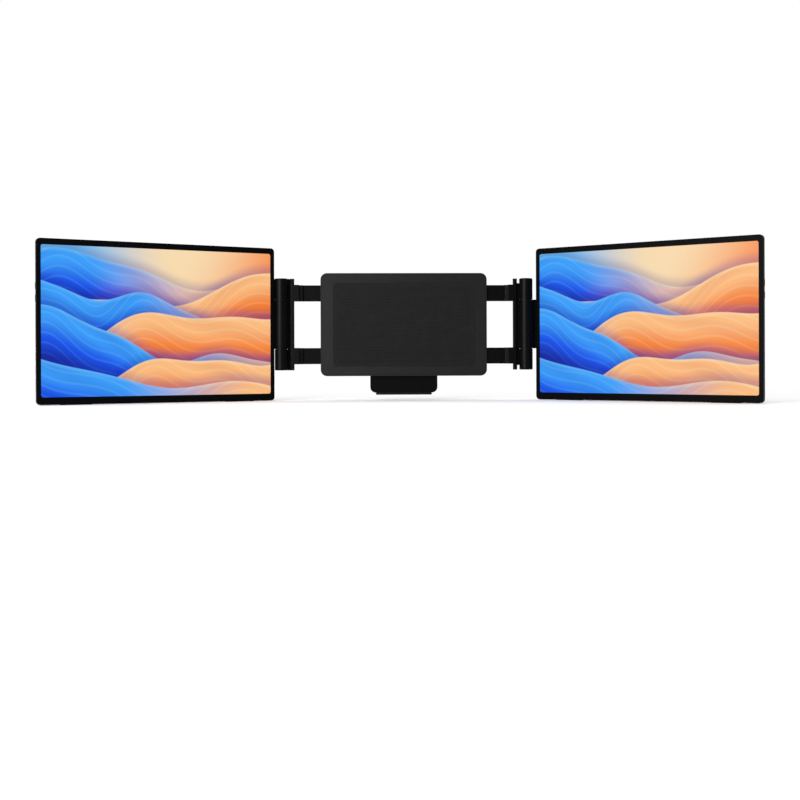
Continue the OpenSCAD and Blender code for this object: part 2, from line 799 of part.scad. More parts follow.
module front_frame(side) {
    color(BLACK) on_screen(side) difference() {
        union() {
            standing_plate(screen_w, screen_h, corner_r, frame_t);
            for (x = screen_post_places, end = [LEFT, RIGHT])
                standing_rod(x, frame_t - BITE, end * (screen_h / 2 - post_edge), screen_post_r,
                    cover_floor - frame_t + BITE);
        }
        translate([0, -THROUGH, picture_z])
            standing_plate(panel_w, panel_h, picture_r, frame_t + 2 * THROUGH);
        translate([0, lip_depth, picture_z])
            standing_plate(panel_w + 2 * (panel_border + slip), panel_h + 2 * (panel_border + slip),
                panel_corner, frame_t);
        for (x = screen_post_places, end = [LEFT, RIGHT])
            standing_rod(x, frame_t + screen_post_floor, end * (screen_h / 2 - post_edge),
                screen_screw_r + THREAD, screen_t);
    }
}

module panel_layer(side, front, t, tint) {
    color(tint) on_screen(side) translate([0, front, picture_z])
        standing_plate(panel_w + 2 * panel_border, panel_h + 2 * panel_border, panel_corner, t);
}

module midframe(side) {
    post_foot = midframe_back - midframe_t / 2;
    color(STEEL) on_screen(side) difference() {
        union() {
            translate([0, backlight_back, picture_z])
                standing_plate(panel_w + 2 * panel_border, panel_h + 2 * panel_border,
                    panel_corner, midframe_t);
            for (p = board_posts)
                standing_rod(p[0], post_foot, p[1], board_post_r,
                    socket_mid - board_t / 2 - post_foot);
        }
        for (p = tongue_screws)
            standing_rod(p[0] - screen_w / 2, backlight_back - THROUGH, p[1],
                tongue_screw_r + running, midframe_t + 2 * THROUGH);
    }
}

module controller_board(side) {
    y0 = socket_mid - board_t / 2;
    color(GREEN) on_screen(side) difference() {
        union() {
            translate([board_edge - board_w, y0, -board_h / 2])
                cube([board_w, board_t, board_h]);
            // Side switches that the buttons press
            for (z = button_places)
                translate([board_edge - switch_in, socket_mid - switch_size[0] / 2,
                    z - switch_size[1] / 2])
                    cube([switch_in + switch_out, switch_size[0], switch_size[1]]);
            for (c = chips)
                translate([board_edge - c[0], y0 + board_t, c[1]]) cube([c[2], chip_t, c[3]]);
        }
        // Cut-outs in which the sockets sit
        for (z = socket_places)
            translate([board_edge - socket_len + socket_overhang, 0, z - socket_w / 2 - slip])
                cube([board_w, screen_t, socket_w + 2 * slip]);
    }
}

module stadium(w, h, len) {
    rotate([90, 0, 90]) linear_extrude(len) polygon(round_rect(h, w, h / 2 - 0.01));
}

module sockets(side) {
    mouth = screen_w / 2 - socket_inset;
    color(STEEL) on_screen(side) for (z = socket_places) {
        difference() {
            translate([mouth - socket_len, socket_mid, z]) stadium(socket_w, socket_t, socket_len);
            translate([mouth - socket_len + 2 * socket_shell_t, socket_mid, z])
                stadium(socket_w - 2 * socket_shell_t, socket_t - 2 * socket_shell_t, socket_len);
        }
        // Tongue that carries the contacts
        translate([mouth - socket_len + socket_shell_t, socket_mid - contact_bar[1] / 2,
            z - contact_bar[2] / 2])
            cube(contact_bar);
    }
}

module rear_cover(side) {
    through_back = cover_back + 2 * THROUGH;
    through_side = cover_wall + 2 * THROUGH;
    color(SATIN) on_screen(side) difference() {
        translate([0, frame_t, 0])
            standing_slab(screen_w, screen_h, corner_r, screen_t - frame_t, cover_round);
        translate([0, frame_t - THROUGH, 0])
            standing_plate(screen_w - 2 * cover_wall, screen_h - 2 * cover_wall,
                corner_r - cover_wall, cover_floor - frame_t + THROUGH);
        // Shadow groove along the seam with the front frame
        translate([0, frame_t - THROUGH, 0]) difference() {
            standing_plate(screen_w + 2 * THROUGH, screen_h + 2 * THROUGH, corner_r + THROUGH,
                THROUGH + groove);
            standing_plate(screen_w - 2 * groove, screen_h - 2 * groove, corner_r - groove,
                2 * THROUGH);
        }
        // Slot for the hinge leaf's tongue
        translate([-screen_w / 2 - THROUGH, midframe_back - slip, -tongue_h / 2 - slip])
            cube([through_side, tongue_t + 2 * slip, tongue_h + 2 * slip]);
        // Screw holes with sunk seats
        for (x = screen_post_places, end = [LEFT, RIGHT]) {
            standing_rod(x, cover_floor - THROUGH, end * (screen_h / 2 - post_edge),
                screen_screw_r + 2 * running, through_back);
            standing_rod(x, screen_t - screen_screw_sink, end * (screen_h / 2 - post_edge),
                screen_head_r + slip, through_back);
        }
        // Sockets and buttons in the outer edge
        for (z = socket_places)
            translate([screen_w / 2 - cover_wall - THROUGH, socket_mid, z])
                stadium(socket_w + 2 * slip, socket_t + 2 * slip, through_side);
        for (z = button_places)
            translate([screen_w / 2 - cover_wall - THROUGH, socket_mid, z])
                stadium(button_len + 2 * slip, button_w + 2 * slip, through_side);
        // Vents in two rows
        for (i = [0:vents - 1], z = [-vent_z, vent_z])
            translate([(i - (vents - 1) / 2) * vent_pitch, cover_floor - THROUGH, z])
                standing_slot(vent_w, vent_h, through_back);
        // Seats of the rubber feet
        for (x = foot_places)
            translate([x - foot_len / 2 - slip, foot_y - slip, -screen_h / 2 - THROUGH])
                cube([foot_len + 2 * slip, foot_w + 2 * slip, THROUGH + foot_seat]);
    }
}

module screen_screws(side) {
    color(STEEL) on_screen(side) for (x = screen_post_places, end = [LEFT, RIGHT])
        pan_screw(x, screen_t - screen_screw_sink, end * (screen_h / 2 - post_edge), screen_screw_r,
            screen_t - screen_screw_sink - frame_t - screen_post_floor - slip, screen_head_r,
            small_head_t);
}

module feet(side) {
    color(RUBBER) on_screen(side) for (x = foot_places)
        translate([x - foot_len / 2, foot_y, -screen_h / 2 - foot_proud])
            cube([foot_len, foot_w, foot_proud + foot_seat]);
}

module button(side, z) {
    flange_out = screen_w / 2 - cover_wall - 0.1;
    // The plunger stops short of its switch by the button's travel
    plunger = board_edge + switch_out + button_travel + slip;
    color(BLACK) on_screen(side) {
        translate([flange_out - button_flange_t / 2, socket_mid, z])
            stadium(button_len, button_w, button_flange_t / 2 + cover_wall + button_proud);
        translate([flange_out - button_flange_t, socket_mid, z])
            stadium(button_len + 2 * button_flange, button_w + 0.5, button_flange_t);
        translate([plunger, socket_mid - plunger_size[0] / 2, z - plunger_size[1] / 2])
            cube([flange_out - button_flange_t / 2 - plunger, plunger_size[0], plunger_size[1]]);
    }
}

// ---------------------------------------------------------------- nodes

lid_mat();
front_cover();
back_shell();
guide(1);  // upper_guide
guide(-1);  // lower_guide
slide_friction_pads();
centre_screws();
kickstand_pin();
kickstand_leg();
kickstand_foot();

column(LEFT);  // left_column
slide_arm(LEFT, 1);  // left_upper_arm
slide_arm(LEFT, -1);  // left_lower_arm
arm_screws(LEFT);  // left_arm_screws
stop_pins(LEFT);  // left_stop_pins
claw_liners(LEFT);  // left_claw_liners
hinge_pin(LEFT);  // left_hinge_pin
hinge_nut(LEFT);  // left_hinge_nut
friction_discs(LEFT);  // left_friction_discs
hinge_caps(LEFT);  // left_hinge_caps

column(RIGHT);  // right_column
slide_arm(RIGHT, 1);  // right_upper_arm
slide_arm(RIGHT, -1);  // right_lower_arm
arm_screws(RIGHT);  // right_arm_screws
stop_pins(RIGHT);  // right_stop_pins
claw_liners(RIGHT);  // right_claw_liners
hinge_pin(RIGHT);  // right_hinge_pin
hinge_nut(RIGHT);  // right_hinge_nut
friction_discs(RIGHT);  // right_friction_discs
hinge_caps(RIGHT);  // right_hinge_caps

leaf(LEFT);  // left_leaf
hinge_bushes(LEFT);  // left_hinge_bushes
leaf_screws(LEFT);  // left_leaf_screws
front_frame(LEFT);  // left_front_frame
panel_layer(LEFT, lip_depth, glass_t, "#3f7fd8");  // left_display
panel_layer(LEFT, glass_back, backlight_t, STEEL);  // left_backlight
midframe(LEFT);  // left_midframe
controller_board(LEFT);  // left_controller_board
sockets(LEFT);  // left_sockets
rear_cover(LEFT);  // left_rear_cover
screen_screws(LEFT);  // left_screen_screws
feet(LEFT);  // left_feet
button(LEFT, button_z);  // left_power_button
button(LEFT, button_z - button_pitch);  // left_menu_button

leaf(RIGHT);  // right_leaf
hinge_bushes(RIGHT);  // right_hinge_bushes
leaf_screws(RIGHT);  // right_leaf_screws
front_frame(RIGHT);  // right_front_frame
panel_layer(RIGHT, lip_depth, glass_t, "#3f7fd8");  // right_display
panel_layer(RIGHT, glass_back, backlight_t, STEEL);  // right_backlight
midframe(RIGHT);  // right_midframe
controller_board(RIGHT);  // right_controller_board
sockets(RIGHT);  // right_sockets
rear_cover(RIGHT);  // right_rear_cover
screen_screws(RIGHT);  // right_screen_screws
feet(RIGHT);  // right_feet
button(RIGHT, button_z);  // right_power_button
button(RIGHT, button_z - button_pitch);  // right_menu_button
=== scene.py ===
"""Looks of a laptop screen extender: finishes, lit displays and fine details on its CAD frame."""

import json
import math

import bmesh
import bpy
from mathutils import Matrix, Vector


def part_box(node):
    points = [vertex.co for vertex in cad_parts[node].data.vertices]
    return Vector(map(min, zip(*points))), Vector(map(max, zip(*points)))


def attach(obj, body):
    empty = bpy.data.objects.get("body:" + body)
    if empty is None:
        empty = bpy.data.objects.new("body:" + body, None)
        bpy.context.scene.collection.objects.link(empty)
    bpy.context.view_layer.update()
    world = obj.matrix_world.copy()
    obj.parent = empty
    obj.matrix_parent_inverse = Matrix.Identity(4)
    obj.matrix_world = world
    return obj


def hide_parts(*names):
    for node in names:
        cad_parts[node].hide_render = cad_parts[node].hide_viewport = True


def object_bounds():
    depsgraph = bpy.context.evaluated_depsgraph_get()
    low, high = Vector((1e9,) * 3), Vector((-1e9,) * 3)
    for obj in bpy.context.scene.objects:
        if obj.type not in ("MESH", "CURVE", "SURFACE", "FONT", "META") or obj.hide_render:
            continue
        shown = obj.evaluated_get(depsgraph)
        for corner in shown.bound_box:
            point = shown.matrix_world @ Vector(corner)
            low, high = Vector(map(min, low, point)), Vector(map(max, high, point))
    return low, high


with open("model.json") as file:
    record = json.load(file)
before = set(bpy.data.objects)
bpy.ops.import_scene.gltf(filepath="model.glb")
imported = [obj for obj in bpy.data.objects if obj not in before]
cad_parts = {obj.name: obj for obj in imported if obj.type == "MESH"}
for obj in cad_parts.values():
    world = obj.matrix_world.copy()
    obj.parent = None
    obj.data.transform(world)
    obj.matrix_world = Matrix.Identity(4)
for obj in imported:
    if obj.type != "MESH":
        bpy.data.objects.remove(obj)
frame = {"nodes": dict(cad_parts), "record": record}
CAD_BOX = [list(corner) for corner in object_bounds()]

bl_info = {
    "name": "Screen Extender Looks",
    "version": (1, 0, 0),
    "blender": (4, 5, 0),
    "location": "View3D > Sidebar > Extender",
    "description": "Dresses the CAD model of a laptop screen extender and sets up its stage",
    "category": "Object",
}

MM = 0.001
SIDES = ("left", "right")

# Colours of the metals and of the slide guides
STEEL_RGB = (0.62, 0.62, 0.63)
BLACK_STEEL_RGB = (0.03, 0.03, 0.033)
TRAY_RGB = (0.55, 0.56, 0.58)
GUIDE_RGB = (0.012, 0.012, 0.013)

# Welding of a CAD shape: points closer than this are one, and faces flatter than this join
WELD_DISTANCE = 0.002 * MM
FLAT_ANGLE = math.radians(0.4)

# Rounding: edges sharper than this get a round of so many faces
SHARP_ANGLE = math.radians(35)
ROUND_FACES = 2
AREA_WEIGHTED = 50


# ---------------------------------------------------------------- places read from the frame

def joint(name):
    """The record's own entry of a joint."""
    return next(j for j in frame["record"]["behaviour"]["joints"] if j["name"] == name)


def screen_axes(side):
    """Hinge axis, direction along the screen and direction into its depth, at rest."""
    hinge = joint(f"{side}_screen_hinge")
    sign = -1 if side == "left" else 1
    yaw = math.pi - math.radians(hinge["range_deg"][1])
    along = Vector((sign * math.cos(yaw), -math.sin(yaw), 0))
    depth = Vector((sign * math.sin(yaw), math.cos(yaw), 0))
    return Vector(hinge["pos_m"]), along, depth


def screen_extent(side, node):
    """Lowest and highest (along, depth, height) of a node in its screen's own directions."""
    axis, along, depth = screen_axes(side)
    points = [v.co - axis for v in frame["nodes"][f"{side}_{node}"].data.vertices]
    rows = [(p.dot(along), p.dot(depth), p.z) for p in points]
    return [min(c) for c in zip(*rows)], [max(c) for c in zip(*rows)]


def screen_place(side, along_m, depth_m, height):
    """Matrix that puts a shape made with X along the screen and Y into its depth on the screen."""
    axis, along, depth = screen_axes(side)
    origin = axis + along * along_m + depth * depth_m + Vector((0, 0, height))
    turned = Matrix((along, depth, (0, 0, 1))).transposed().to_4x4()
    return Matrix.Translation(origin) @ turned


# ---------------------------------------------------------------- shader maths

class Field:
    """A value socket that takes part in Python arithmetic and adds the nodes for it."""

    def __init__(self, maker, socket):
        self.maker = maker
        self.socket = socket

    def _math(self, operation, *values):
        made = self.maker.node("ShaderNodeMath", {"operation": operation}, dict(enumerate(values)))
        return Field(self.maker, made.outputs[0])

    def __add__(self, other): return self._math("ADD", self, other)
    def __radd__(self, other): return self._math("ADD", other, self)
    def __sub__(self, other): return self._math("SUBTRACT", self, other)
    def __rsub__(self, other): return self._math("SUBTRACT", other, self)
    def __mul__(self, other): return self._math("MULTIPLY", self, other)
    def __rmul__(self, other): return self._math("MULTIPLY", other, self)
    def __truediv__(self, other): return self._math("DIVIDE", self, other)
    def __rtruediv__(self, other): return self._math("DIVIDE", other, self)
    def __pow__(self, other): return self._math("POWER", self, other)
    def __rpow__(self, other): return self._math("POWER", other, self)
    def __neg__(self): return self._math("MULTIPLY", self, -1.0)

    def sin(self): return self._math("SINE", self)
    def absolute(self): return self._math("ABSOLUTE", self)
    def at_least(self, other): return self._math("MAXIMUM", self, other)
    def at_most(self, other): return self._math("MINIMUM", self, other)
    def clamped(self): return self.at_least(0.0).at_most(1.0)

    def ramp(self, low, high):
        """0 below low, 1 above high and smooth between them."""
        node = self.maker.node("ShaderNodeMapRange", {"interpolation_type": "SMOOTHSTEP"},
                               {0: self, 1: low, 2: high, 3: 0.0, 4: 1.0})
        return Field(self.maker, node.outputs[0])


class NodeTree:
    """Adds nodes to a tree: a node's type, its settings, and the values or links of its sockets."""

    # Layout in the node editor: the first node's place, the step to the next, nodes in a column
    FIRST = (-220, 300)
    STEP = (180, 170)
    IN_COLUMN = 6

    def __init__(self, tree):
        self.tree = tree
        self.count = 0

    def node(self, kind, settings=None, sockets=None):
        made = self.tree.nodes.new(kind)
        self.count += 1
        column, row = divmod(self.count, self.IN_COLUMN)
        made.location = (self.FIRST[0] - self.STEP[0] * column, self.FIRST[1] - self.STEP[1] * row)
        for key, value in (settings or {}).items():
            setattr(made, key, value)
        for key, value in (sockets or {}).items():
            self.feed(made.inputs[key], value)
        return made

    def feed(self, socket, value):
        value = value.socket if isinstance(value, Field) else value
        if isinstance(value, bpy.types.NodeSocket):
            self.tree.links.new(value, socket)
        else:
            socket.default_value = value


class Maker(NodeTree):
    """Builds one material's node tree."""

    # Sockets for colours of a Mix node, whose names its other kinds share
    MIX_FIRST, MIX_SECOND, MIX_RESULT = 6, 7, 2

    def __init__(self, name):
        self.material = bpy.data.materials.new(name)
        self.material.use_nodes = True
        super().__init__(self.material.node_tree)
        self.shader = next(n for n in self.tree.nodes if n.type == "BSDF_PRINCIPLED")

    def place(self):
        """Object coordinates, which are metres in the part's own frame."""
        return self.node("ShaderNodeTexCoord").outputs["Object"]

    def stretched(self, vector, scale):
        return self.node("ShaderNodeVectorMath", {"operation": "MULTIPLY"},
                         {0: vector, 1: scale}).outputs[0]

    def split(self, vector):
        parts = self.node("ShaderNodeSeparateXYZ", sockets={0: vector}).outputs
        return [Field(self, part) for part in parts]

    def dot(self, vector, direction, offset):
        """Distance of each point along a direction, less an offset."""
        made = self.node("ShaderNodeVectorMath", {"operation": "DOT_PRODUCT"},
                         {0: vector, 1: tuple(direction)})
        return Field(self, made.outputs["Value"]) - offset

    def noise(self, vector, scale, detail, roughness=0.55):
        made = self.node("ShaderNodeTexNoise", {"noise_dimensions": "3D"},
                         {"Vector": vector, "Scale": scale, "Detail": detail,
                          "Roughness": roughness})
        return Field(self, made.outputs["Fac"])

    def mixed(self, factor, first, second):
        """The first colour where the factor is 0, the second where it is 1."""
        made = self.node("ShaderNodeMix", {"data_type": "RGBA"},
                         {"Factor": factor, self.MIX_FIRST: first, self.MIX_SECOND: second})
        return made.outputs[self.MIX_RESULT]

    def bump(self, height, distance, strength):
        made = self.node("ShaderNodeBump", sockets={"Height": height, "Distance": distance,
                                                    "Strength": strength})
        self.feed(self.shader.inputs["Normal"], made.outputs[0])

    def set(self, **values):
        names = {"color": "Base Color", "roughness": "Roughness", "metallic": "Metallic",
                 "specular": "Specular IOR Level", "glow": "Emission Color",
                 "glow_strength": "Emission Strength", "alpha": "Alpha"}
        for key, value in values.items():
            self.feed(self.shader.inputs[names[key]], value)


def opaque(rgb):
    return (*rgb[:3], 1.0)


def shaded(rgb, share):
    """A darker or lighter colour."""
    return opaque([c * share for c in rgb])


class Growth(NodeTree):
    """Builds one geometry node tree with named inputs and turns its result into a plain mesh."""

    KINDS = {int: "NodeSocketInt", float: "NodeSocketFloat",
             bpy.types.Material: "NodeSocketMaterial"}

    def __init__(self, name, **inputs):
        super().__init__(bpy.data.node_groups.new(name, "GeometryNodeTree"))
        self.name = name
        self.values = inputs
        face = self.tree.interface
        face.new_socket(name="Geometry", in_out="OUTPUT", socket_type="NodeSocketGeometry")
        for label, value in inputs.items():
            face.new_socket(name=label, in_out="INPUT", socket_type=self.KINDS[type(value)])
        self.entry = self.tree.nodes.new("NodeGroupInput")
        self.exit = self.tree.nodes.new("NodeGroupOutput")

    def given(self, label):
        return Field(self, self.entry.outputs[label])

    def vector(self, x=0.0, y=0.0, z=0.0):
        return self.node("ShaderNodeCombineXYZ", sockets={0: x, 1: y, 2: z}).outputs[0]

    def row(self, count, pitch):
        """Points in a row along Z, centred."""
        return self.node("GeometryNodeMeshLine", sockets={
            "Count": count, "Start Location": self.vector(z=(count - 1.0) * pitch * -0.5),
            "Offset": self.vector(z=pitch)}).outputs[0]

    def bar(self, profile, start, end):
        """A straight bar along X with a given profile and closed ends."""
        line = self.node("GeometryNodeCurvePrimitiveLine", sockets={
            "Start": self.vector(x=start), "End": self.vector(x=end)}).outputs[0]
        return self.node("GeometryNodeCurveToMesh", sockets={
            "Curve": line, "Profile Curve": profile, "Fill Caps": True}).outputs[0]

    def circle(self, width, sides):
        return self.node("GeometryNodeCurvePrimitiveCircle", sockets={
            "Resolution": sides, "Radius": width * 0.5}).outputs[0]

    def repeated(self, points, shape):
        return self.node("GeometryNodeInstanceOnPoints",
                         sockets={"Points": points, "Instance": shape}).outputs[0]

    def moved(self, shape, **sockets):
        names = {"by": "Translation", "scale": "Scale"}
        return self.node("GeometryNodeTransform", sockets={
            "Geometry": shape, **{names[k]: v for k, v in sockets.items()}}).outputs[0]

    def joined(self, *shapes):
        made = self.node("GeometryNodeJoinGeometry")
        for shape in reversed(shapes):
            self.tree.links.new(shape, made.inputs[0])
        return made.outputs[0]

    def painted(self, shape, material):
        """Real faces with their material."""
        real = self.node("GeometryNodeRealizeInstances", sockets={0: shape}).outputs[0]
        return self.node("GeometryNodeSetMaterial",
                         sockets={"Geometry": real, "Material": material}).outputs[0]

    def grown(self, shape, place):
        """The finished object, its place in its mesh."""
        self.feed(self.exit.inputs[0], shape)
        made = bpy.data.objects.new(self.name, bpy.data.meshes.new(self.name))
        bpy.context.scene.collection.objects.link(made)
        modifier = made.modifiers.new(self.name, "NODES")
        modifier.node_group = self.tree
        for item in self.tree.interface.items_tree:
            if item.in_out == "INPUT":
                modifier[item.identifier] = self.values[item.name]
        plain_mesh(made)
        made.data.transform(place)
        if place.determinant() < 0:
            made.data.flip_normals()
        return made


# ---------------------------------------------------------------- materials

def moulded_plastic(name, rgb, grain, roughness=0.42, gloss=0.2):
    """Satin black plastic with the fine even grain of a spark-eroded mould."""
    m = Maker(name)
    place = m.place()
    grains = m.noise(place, scale=0.45 / grain, detail=2.0, roughness=0.7)
    smears = m.noise(place, scale=26, detail=5.0, roughness=0.6)
    tone = (smears - 0.5) * 0.2 + 0.5
    m.set(color=m.mixed(tone.clamped(), shaded(rgb, 0.8), opaque(rgb)),
          roughness=(smears - 0.5) * 0.07 + (grains - 0.5) * 0.1 + roughness,
          specular=gloss)
    m.bump(grains, distance=grain * 0.18, strength=0.6)
    return m.material


def anodised_metal(name, rgb):
    """Black anodised metal: bead-blasted, a little brighter where hands have polished it."""
    m = Maker(name)
    place = m.place()
    blast = m.noise(place, scale=5200, detail=2.0, roughness=0.75)
    handled = m.noise(place, scale=55, detail=5.0, roughness=0.6).ramp(0.45, 0.75)
    m.set(color=m.mixed(handled * 0.5, opaque(rgb), shaded(rgb, 1.5)),
          roughness=(blast - 0.5) * 0.16 - handled * 0.05 + 0.4,
          specular=0.07)
    m.bump(blast, distance=0.03 * MM, strength=0.55)
    return m.material


def painted_steel(name, rgb):
    """Black painted strip with long faint rub marks from sliding in its guide."""
    m = Maker(name)
    place = m.place()
    rubbed = (0.09, 0.09, 0.095, 1)
    orange_peel = m.noise(place, scale=900, detail=3.0, roughness=0.5)
    long_marks = m.stretched(place, (6, 220, 900))
    rubs = m.noise(long_marks, scale=1.0, detail=6.0, roughness=0.7).ramp(0.62, 0.86)
    m.set(color=m.mixed(rubs * 0.4, opaque(rgb), rubbed),
          roughness=0.38 - rubs * 0.1 + (orange_peel - 0.5) * 0.08,
          metallic=rubs * 0.3, specular=0.05)
    m.bump(orange_peel, distance=0.04 * MM, strength=0.4)
    return m.material


def turned_steel(name, rgb, roughness=0.26):
    """Bright machined steel with fine tool marks round its length."""
    m = Maker(name)
    place = m.place()
    round_marks = m.stretched(place, (300, 300, 9000))
    lines = m.noise(round_marks, scale=1.0, detail=3.0, roughness=0.7)
    patches = m.noise(place, scale=240, detail=3.0, roughness=0.5)
    m.set(color=m.mixed(patches, shaded(rgb, 0.85), opaque(rgb)),
          roughness=(lines - 0.5) * 0.2 + roughness, metallic=1.0)
    m.bump(lines, distance=0.012 * MM, strength=0.5)
    return m.material


def rubber(name, rgb):
    """Matt moulded rubber with a dusty bloom."""
    m = Maker(name)
    place = m.place()
    pores = m.noise(place, scale=2600, detail=4.0, roughness=0.65)
    bloom = m.noise(place, scale=60, detail=4.0, roughness=0.6).ramp(0.4, 0.8)
    m.set(color=m.mixed(bloom * 0.35, opaque(rgb), shaded(rgb, 1.9)),
          roughness=0.78 + (pores - 0.5) * 0.2, specular=0.15)
    m.bump(pores, distance=0.05 * MM, strength=0.6)
    return m.material


def film_stack(name):
    """White edge of the backlight's films, banded through its depth."""
    m = Maker(name)
    film, gap = (0.86, 0.87, 0.88, 1), (0.62, 0.64, 0.67, 1)
    bands = m.noise(m.stretched(m.place(), (40, 4000, 4000)), scale=1.0, detail=2.0)
    m.set(color=m.mixed(bands, gap, film), roughness=0.5)
    m.bump(bands, distance=0.03 * MM, strength=0.4)
    return m.material


def solder_mask(name):
    """Green circuit board with paler tracks under the mask."""
    m = Maker(name)
    mask, copper_below = (0.012, 0.09, 0.045, 1), (0.03, 0.2, 0.1, 1)
    x, _, z = m.split(m.place())
    track = ((x * 2400).sin() * (z * 1900).sin()).ramp(0.3, 0.45)
    speckle = m.noise(m.place(), scale=900, detail=2.0)
    m.set(color=m.mixed(track, mask, copper_below),
          roughness=0.35 + speckle * 0.15, specular=0.5)
    m.bump(track, distance=0.04 * MM, strength=0.5)
    return m.material


def gold_plate(name):
    """Thin gold over nickel, paler in patches."""
    m = Maker(name)
    deep, pale = (0.78, 0.52, 0.2, 1), (0.95, 0.7, 0.32, 1)
    wear = m.noise(m.place(), scale=3000, detail=2.0)
    m.set(color=m.mixed(wear, deep, pale), roughness=0.22 + wear * 0.1, metallic=1.0)
    return m.material


# ---------------------------------------------------------------- the lit pictures

class Picture:
    """Flowing sheets of colour: sky and royal blue on the left, cream to ember on the right."""

    # Each sheet, the rearmost first: height of its crest at the left, rise to the right, swing,
    # waves across, phase, and how far it leans to orange
    SHEETS = (
        (0.93, -0.22, 0.055, 1.10, 0.4, 0.30),
        (0.62, 0.16, 0.085, 0.85, 2.1, 0.86),
        (0.80, -0.42, 0.070, 1.35, 3.6, 0.10),
        (0.30, 0.34, 0.095, 0.95, 5.2, 0.72),
        (0.52, -0.36, 0.080, 1.20, 0.9, 0.02),
        (0.06, 0.24, 0.070, 1.15, 4.1, 0.90),
        (0.25, -0.24, 0.060, 0.80, 2.7, 0.16),
    )

    # A crest's quick ripple, as shares of its slow wave
    QUICK_WAVES, QUICK_PHASE, QUICK_SWING = 2.3, 1.7, 0.28

    # Reach below a crest, in picture heights: soft edge, pale rim, deep colour, cast shade
    EDGE, RIM, DEPTH, CAST = 0.004, 0.03, 0.42, 0.09

    # Waves of the folds and of the thin streaks below a crest
    FOLDS, STREAKS = 34.0, 96.0

    def __init__(self, maker, across, up, colours):
        self.m = maker
        self.across = across
        self.up = up
        self.colours = colours

    def tint(self, name):
        return opaque(getattr(self.colours, name))

    def sky(self):
        m = self.m
        warm = (self.across * 1.15 + self.up * 0.1 - 0.12).ramp(0.1, 0.62)
        ember = (self.across + (1.0 - self.up) * 0.3).ramp(0.62, 1.15)
        base = m.mixed(warm, self.tint("sky"), self.tint("cream"))
        return m.mixed(ember, base, self.tint("orange"))

    def sheet(self, under, crest, rise, swing, waves, phase, leaning):
        """One sheet laid over the picture so far, with the shade that it casts on it."""
        m = self.m
        slow = (self.across * (waves * math.tau) + phase).sin()
        fast = self.across * (waves * self.QUICK_WAVES * math.tau) + phase * self.QUICK_PHASE
        quick = fast.sin()
        edge = self.across * rise + slow * swing + quick * (swing * self.QUICK_SWING) + crest
        below = edge - self.up
        cover = below.ramp(-self.EDGE, self.EDGE)
        depth = below.ramp(0.0, self.DEPTH)
        rim = 1.0 - below.ramp(0.0, self.RIM)
        warm = (self.across * 1.1 + leaning - 0.45).ramp(0.05, 0.75)
        light = m.mixed(warm, self.tint("azure"), self.tint("peach"))
        full = m.mixed(warm, self.tint("royal"), self.tint("orange"))
        deep = m.mixed(warm, self.tint("navy"), self.tint("ember"))
        folds = (below * self.FOLDS + slow * 3.0).sin() * 0.5 + 0.5
        fold = folds * (1.0 - depth) * 0.16
        streaks = (below * self.STREAKS + slow * 7.0 + quick * 4.0).sin().ramp(0.55, 1.0)
        streak = streaks * (1.0 - depth) * 0.24
        body = m.mixed(depth.ramp(0.0, 0.55), light, full)
        body = m.mixed((depth.ramp(0.4, 1.0) + fold).clamped(), body, deep)
        pale = m.mixed(warm, self.tint("sky"), self.tint("cream"))
        body = m.mixed((rim * 0.55 + streak).clamped(), body, pale)
        cast = below.ramp(-self.CAST, 0.0) * (1.0 - cover) * 0.35
        return m.mixed(cover, m.mixed(cast, under, self.tint("navy")), body)

    def painted(self):
        colour = self.sky()
        for row in self.SHEETS:
            colour = self.sheet(colour, *row)
        return colour


def lit_display(side, look):
    """An anti-glare display that glows with the picture, dark in the narrow margin round it."""
    m = Maker(f"{side}_display_picture")
    unlit, beneath_light = (0.002, 0.002, 0.0025, 1), (0.004, 0.004, 0.005, 1)
    margin, margin_blur = look.dark_margin, 0.3 * MM
    low, high = screen_extent(side, "display")
    axis, along, _ = screen_axes(side)
    width, height = high[0] - low[0], high[2] - low[2]
    place = m.place()
    outwards = m.dot(place, along, axis.dot(along) + low[0]) / width
    across = 1.0 - outwards if side == "left" else outwards
    up = (m.split(place)[2] - low[2]) / height
    picture = Picture(m, across, up, look).painted()
    in_width = (0.5 - (across - 0.5).absolute()) * width
    in_height = (0.5 - (up - 0.5).absolute()) * height
    lit = in_width.at_most(in_height).ramp(margin, margin + margin_blur)
    glare = m.noise(place, scale=7000, detail=2.0)
    m.set(color=m.mixed(lit, unlit, beneath_light),
          glow=m.mixed(lit, (0, 0, 0, 1), picture), glow_strength=look.brightness,
          roughness=0.3 + glare * 0.08, specular=0.04)
    m.bump(glare, distance=0.01 * MM, strength=0.3)
    return m.material


# ---------------------------------------------------------------- meshes

def welded_copy(node, name):
    """The node's own shape as one joined mesh, with its flat faces whole."""
    obj = bpy.data.objects.new(name, frame["nodes"][node].data.copy())
    bpy.context.scene.collection.objects.link(obj)
    obj.data.materials.clear()
    bm = bmesh.new()
    bm.from_mesh(obj.data)
    bmesh.ops.remove_doubles(bm, verts=bm.verts, dist=WELD_DISTANCE)
    bmesh.ops.dissolve_limit(bm, angle_limit=FLAT_ANGLE, verts=bm.verts, edges=bm.edges)
    bm.to_mesh(obj.data)
    bm.free()
    return obj


def plain_mesh(obj):
    """Turns an object with live modifiers into a plain mesh."""
    evaluated = obj.evaluated_get(bpy.context.evaluated_depsgraph_get())
    made = bpy.data.meshes.new_from_object(evaluated)
    obj.modifiers.clear()
    obj.data = made


def body_of(node):
    return next(body for body, members in frame["record"]["behaviour"]["bodies"].items()
                if node in members)


def slot_of(node):
    return next(part["material_slot"] for part in frame["record"]["subparts"]
                if part["node"] == node)


